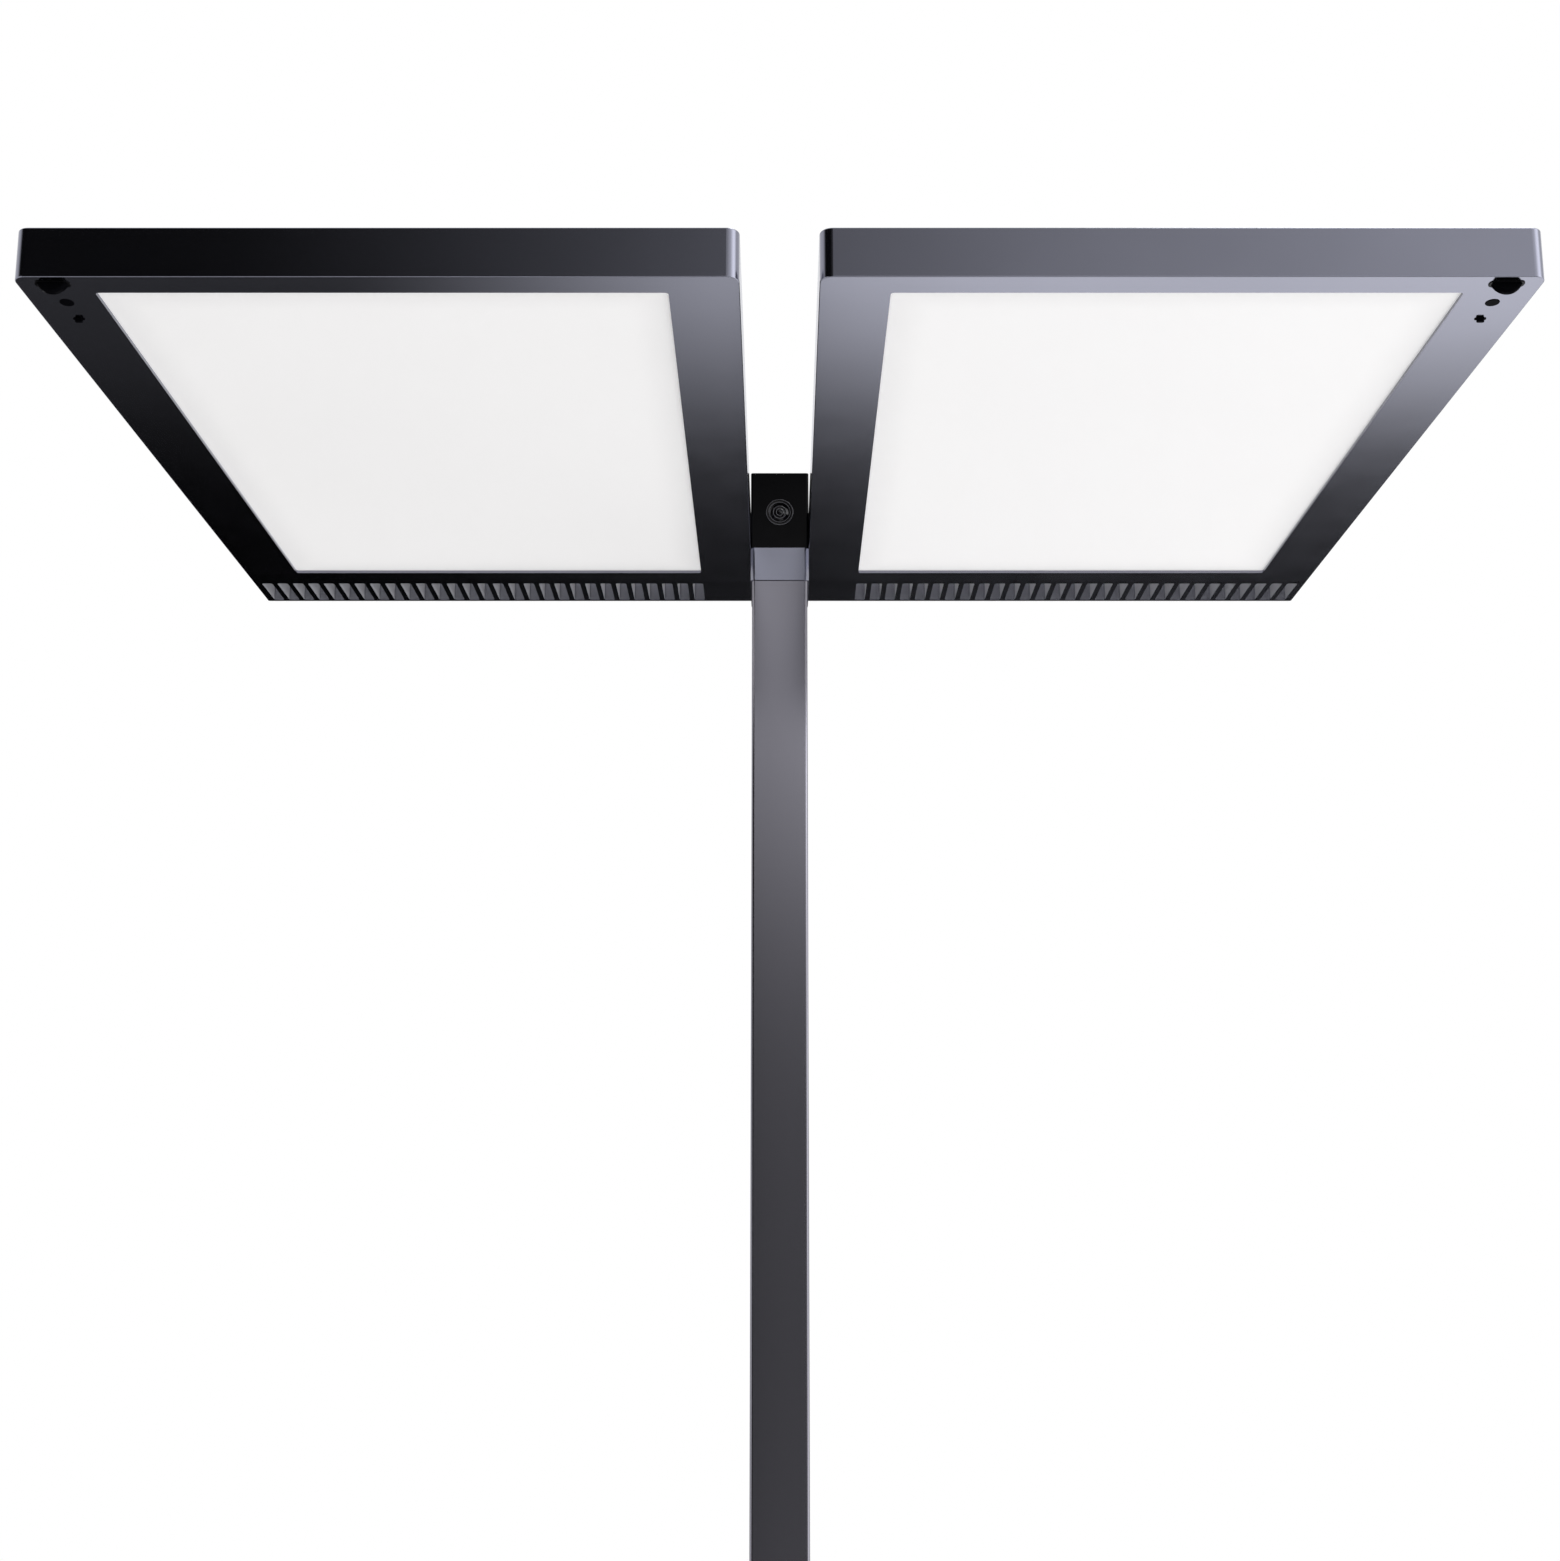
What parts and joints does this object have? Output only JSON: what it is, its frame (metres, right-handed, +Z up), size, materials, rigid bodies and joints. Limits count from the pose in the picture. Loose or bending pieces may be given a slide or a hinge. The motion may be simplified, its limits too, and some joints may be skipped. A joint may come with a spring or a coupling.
{
  "type": "office floor lamp",
  "caption": "Free-standing office lamp: twin flat light heads side by side, carried by a bridge on a slim rectangular rear pole, with front push keys and a flat base.",
  "frame": {"origin": "on the floor under the middle of the two heads", "axes": "+Z up along the pole, +X along the two heads towards the right head as seen from the front, +Y from the front edge of the heads to the pole"},
  "size_m": [0.802, 0.52, 2],
  "materials": {
    "shell": "satin graphite",
    "pole": "satin graphite",
    "collar": "satin graphite",
    "bar": "satin graphite",
    "base": "fine textured grey paint",
    "foot": "fine textured grey paint",
    "black_gloss": "polished black",
    "black_matte": "fine satin black",
    "opal": "opal",
    "clear": "clear acrylic",
    "lens": "glossy smoked",
    "white_film": "white film",
    "inner_metal": "bare",
    "steel": "zinc plated",
    "board": "circuit board",
    "casing": "moulded white",
    "wire": "sheathed cable",
    "rubber": "matt rubber",
    "contact": "plated contact",
    "key": "satin moulded"
  },
  "bodies": {
    "root": {"base_pads": "rubber", "base_plate": "base", "bridge_bolts": "steel", "bridge_cap": "black_gloss", "bridge_frame": "inner_metal", "bridge_housing": "black_gloss", "bridge_sensor_board": "board", "control_board": "board", "control_frame": "black_matte", "downlight_driver": "casing", "driver_rail": "steel", "foot_screws": "steel", "inlet_pins": "contact", "left_back_plate": "inner_metal", "left_diffuser": "opal", "left_head_housing": "shell", "left_head_lid": "shell", "left_heat_sink": "bar", "left_led_rails": "inner_metal", "left_light_guide": "clear", "left_light_sensor": "lens", "left_motion_lens": "lens", "left_motion_ring": "black_gloss", "left_mount_bracket": "steel", "left_reflector": "white_film", "left_sensor_board": "board", "left_status_window": "lens", "left_uplight_window": "opal", "lid_screws": "steel", "mains_terminal": "casing", "pole_collar": "collar", "pole_foot": "foot", "pole_spigot": "steel", "pole_tube": "pole", "power_inlet": "black_matte", "right_back_plate": "inner_metal", "right_diffuser": "opal", "right_head_housing": "shell", "right_head_lid": "shell", "right_heat_sink": "bar", "right_led_rails": "inner_metal", "right_light_guide": "clear", "right_light_sensor": "lens", "right_motion_lens": "lens", "right_motion_ring": "black_gloss", "right_mount_bracket": "steel", "right_reflector": "white_film", "right_sensor_board": "board", "right_status_window": "lens", "right_uplight_window": "opal", "sensor_lens": "lens", "sensor_ring": "black_matte", "spigot_bolts": "steel", "uplight_boards": "board", "uplight_driver": "casing", "wiring_harness": "wire"},
    "power_key": {"power_key": "key"},
    "brighter_key": {"brighter_key": "key"},
    "dimmer_key": {"dimmer_key": "key"}
  },
  "joints": [
    {"name": "power_key_push", "type": "slide", "parent": "root", "child": "power_key", "axis": [0, 1, 0], "range_m": [0, 0.0008], "stiffness_N_per_m": 800, "springref_m": -0.001},
    {"name": "brighter_key_push", "type": "slide", "parent": "root", "child": "brighter_key", "axis": [0, 1, 0], "range_m": [0, 0.0008], "stiffness_N_per_m": 800, "springref_m": -0.001},
    {"name": "dimmer_key_push", "type": "slide", "parent": "root", "child": "dimmer_key", "axis": [0, 1, 0], "range_m": [0, 0.0008], "stiffness_N_per_m": 800, "springref_m": -0.001}
  ]
}
